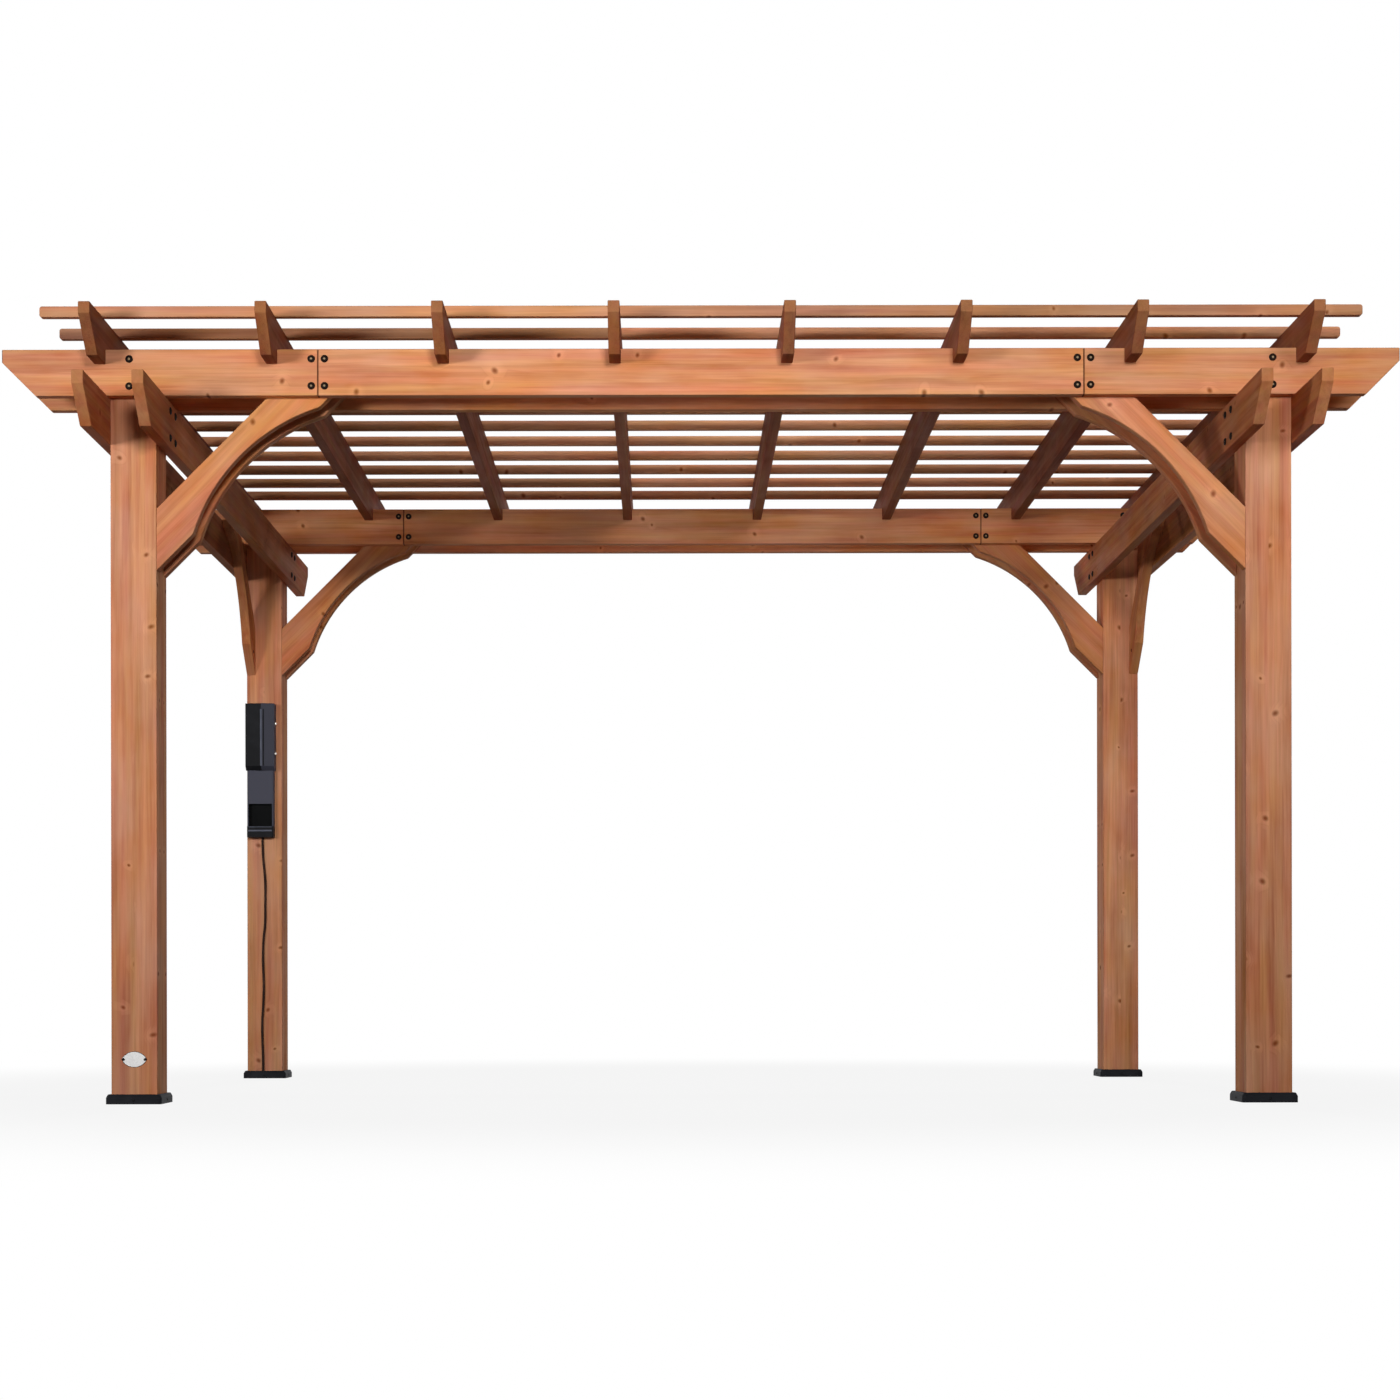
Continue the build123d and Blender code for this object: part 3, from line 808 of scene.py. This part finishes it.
# The slate rib stands for the ridge's highlight: painted highlight
trim("hood_rib_painted_highlight", [(
    (hood_ridge - HOOD_RIB_WIDTH / 2, hood_low.y - HOOD_RIB_PROUD, rib_low),
    (hood_ridge + HOOD_RIB_WIDTH / 2, hood_low.y + HOOD_RIB_WIDTH, rib_high),
)], slate_plastic)
line_left = hood_ridge + HOOD_LINE_OFFSET - HOOD_LINE_WIDTH / 2
# A black line beside the rib: painted shade of a groove
trim("hood_painted_shade_line", [(
    (line_left, hood_low.y + HOOD_RIB_PROUD, rib_low),
    (line_left + HOOD_LINE_WIDTH, hood_low.y + HOOD_RIB_WIDTH, rib_high),
)], black_shade_sheet)


def oval_plate(name, centre, enamel, rim):
    """A thin enamelled plate between two arcs, with a sloped rim painted dark as its edge and as painted
    shadow round it, its back on the post.
    """
    radius = (PLATE_WIDTH ** 2 + PLATE_HEIGHT ** 2) / (4 * PLATE_HEIGHT)
    half_turn = math.asin(PLATE_WIDTH / 2 / radius)
    drop = radius - PLATE_HEIGHT / 2
    outline = []
    for way in (1, -1):
        for step in range(PLATE_ARC_STEPS):
            angle = way * half_turn * (1 - 2 * step / PLATE_ARC_STEPS)
            outline.append((radius * math.sin(angle), way * (radius * math.cos(angle) - drop)))
    shape = bmesh.new()
    rings = []
    for inset, rise in ((0, 0), (0, PLATE_THICKNESS - PLATE_RIM_RISE), (PLATE_RIM, PLATE_THICKNESS)):
        scale = (1 - 2 * inset / PLATE_WIDTH, 1 - 2 * inset / PLATE_HEIGHT)
        rings.append([
            shape.verts.new((centre[0] + x * scale[0], centre[1] - rise, centre[2] + z * scale[1]))
            for x, z in outline
        ])
    shape.faces.new(rings[0])
    shape.faces.new(rings[-1])
    # Rim faces take the black, partly as painted shadow round the plate
    for face in skin(shape, rings):
        face.material_index = 1
    bmesh.ops.recalc_face_normals(shape, faces=shape.faces)
    new_piece(name, mesh_of(name, shape), [enamel, rim])


post_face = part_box("front_left_post")[0].y
plate_place = (middle_of("front_left_post").x, post_face, PLATE_CENTRE_HEIGHT)
white_enamel = painted_steel("white_enamelled_plate", "#FCFBFA", 0.0, 0.4, 0.2)
# The plate's black rim is partly its dark edge and partly painted shadow round the plate
oval_plate("bare_oval_plate", plate_place, white_enamel, black_steel)
places = []
for side in SIDES.values():
    spot = (plate_place[0] + side * PLATE_SCREW_OFFSET, post_face - PLATE_THICKNESS, PLATE_CENTRE_HEIGHT)
    places.append((spot, (0, -1, 0)))
fasteners("oval_plate_screws", places, [(PLATE_SCREW_HEAD, black_steel)])

# Supply lead: one smooth line from the power box down the post into the foot cover
rubber = moulded_plastic("rubber_lead_sheath", "#2A1C17", "#46322A", 0.6)
lead_x = middle_of("rear_left_post").x
lead_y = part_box("rear_left_post")[0].y - LEAD_CLEARANCE - LEAD_DIAMETER / 2
route = [Vector((lead_x + sideways * MM, lead_y, height * MM)) for sideways, height in LEAD_ROUTE]
lead_curve = bpy.data.curves.new("supply_lead_line", "CURVE")
lead_curve.dimensions = "3D"
lead_curve.bevel_depth = LEAD_DIAMETER / 2
lead_curve.bevel_resolution = 3
lead_spline = lead_curve.splines.new("NURBS")
lead_spline.points.add(len(route) - 1)
for point, spot in zip(lead_spline.points, route):
    point.co = (*spot, 1.0)
lead_spline.order_u = 3
lead_spline.use_endpoint_u = True
lead = new_piece("supply_lead_sheath", lead_curve, [rubber])
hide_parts("supply_lead")

# Camera at the photograph's place, level, with the horizon low in the frame
camera_data = bpy.data.cameras.new("camera")
camera_data.sensor_width = SENSOR
camera_data.lens = FOCAL_PIXELS / IMAGE_SIDE * SENSOR
camera_data.shift_x = (IMAGE_SIDE / 2 - VANISHING_POINT[0]) / IMAGE_SIDE
camera_data.shift_y = (VANISHING_POINT[1] - IMAGE_SIDE / 2) / IMAGE_SIDE
camera = bpy.data.objects.new("camera", camera_data)
level = Matrix.Rotation(math.pi / 2, 4, "X")
camera.matrix_world = Matrix.Translation(CAMERA_PLACE) @ level @ Matrix.Rotation(CAMERA_ROLL, 4, "Z")
bpy.context.scene.collection.objects.link(camera)
bpy.context.scene.camera = camera


def seen_directly(tree):
    """1 for camera, glossy and transmission rays, so that these see the white background."""
    path = add(tree, "ShaderNodeLightPath").outputs
    seen = add(tree, "ShaderNodeMath", {0: path["Is Camera Ray"], 1: path["Is Glossy Ray"]},
               operation="MAXIMUM").outputs[0]
    return add(tree, "ShaderNodeMath", {0: seen, 1: path["Is Transmission Ray"]},
               operation="MAXIMUM").outputs[0]


def studio_floor():
    """Pale painted floor that is seen as white, apart from a soft shadow near the object."""
    material, tree = new_material("pale_studio_floor")
    paint = add(tree, "ShaderNodeBsdfDiffuse", {"Color": linear(FLOOR_PAINT)}).outputs[0]
    glow = add(tree, "ShaderNodeEmission", {"Color": WHITE, "Strength": 1.0}).outputs[0]
    place = add(tree, "ShaderNodeTexCoord").outputs["Object"]
    away = add(tree, "ShaderNodeVectorMath", {0: place}, operation="LENGTH").outputs["Value"]
    white = add(tree, "ShaderNodeMapRange", {
        0: away, 1: SHADOW_REACH[0], 2: SHADOW_REACH[1], 3: FLOOR_WHITE_SHARE, 4: 1.0},
        interpolation_type="SMOOTHSTEP").outputs[0]
    pale = add(tree, "ShaderNodeMixShader", {0: white, 1: paint, 2: glow}).outputs[0]
    mixed = add(tree, "ShaderNodeMixShader", {0: seen_directly(tree), 1: paint, 2: pale}).outputs[0]
    add(tree, "ShaderNodeOutputMaterial", {0: mixed})
    mesh = bpy.data.meshes.new("studio_floor")
    half = FLOOR_SIDE / 2
    corners = [(-half, -half, 0), (half, -half, 0), (half, half, 0), (-half, half, 0)]
    mesh.from_pydata(corners, [], [(0, 1, 2, 3)])
    mesh.materials.append(material)
    floor = bpy.data.objects.new("studio_floor", mesh)
    bpy.context.scene.collection.objects.link(floor)
    floor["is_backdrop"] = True


def soft_light(name, place, target, spread, watts):
    """A soft light that isn't seen itself. Those beside and behind the object leave no glare on it."""
    lamp = bpy.data.lights.new(name, "AREA")
    lamp.shape = "RECTANGLE"
    lamp.size, lamp.size_y = LIGHT_SIZE
    lamp.spread = math.radians(spread)
    lamp.energy = watts
    thing = bpy.data.objects.new(name, lamp)
    thing.location = place
    thing.visible_camera = False
    thing.visible_glossy = place[1] < 0
    thing.rotation_euler = (Vector(target) - Vector(place)).to_track_quat("-Z", "Y").to_euler()
    bpy.context.scene.collection.objects.link(thing)


def white_studio():
    """A dim sky that is seen as white."""
    world = bpy.data.worlds.new("white_studio")
    world.use_nodes = True
    tree = world.node_tree
    tree.nodes.clear()
    dim = add(tree, "ShaderNodeBackground", {"Color": WHITE, "Strength": SKY_STRENGTH}).outputs[0]
    white = add(tree, "ShaderNodeBackground", {"Color": WHITE, "Strength": 1.0}).outputs[0]
    backdrop = add(tree, "ShaderNodeMixShader", {0: seen_directly(tree), 1: dim, 2: white}).outputs[0]
    add(tree, "ShaderNodeOutputWorld", {0: backdrop})
    bpy.context.scene.world = world


studio_floor()
for light_name, light_settings in LIGHTS.items():
    soft_light(light_name, *light_settings)
white_studio()
bpy.context.scene.view_settings.view_transform = "Standard"

low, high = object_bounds()
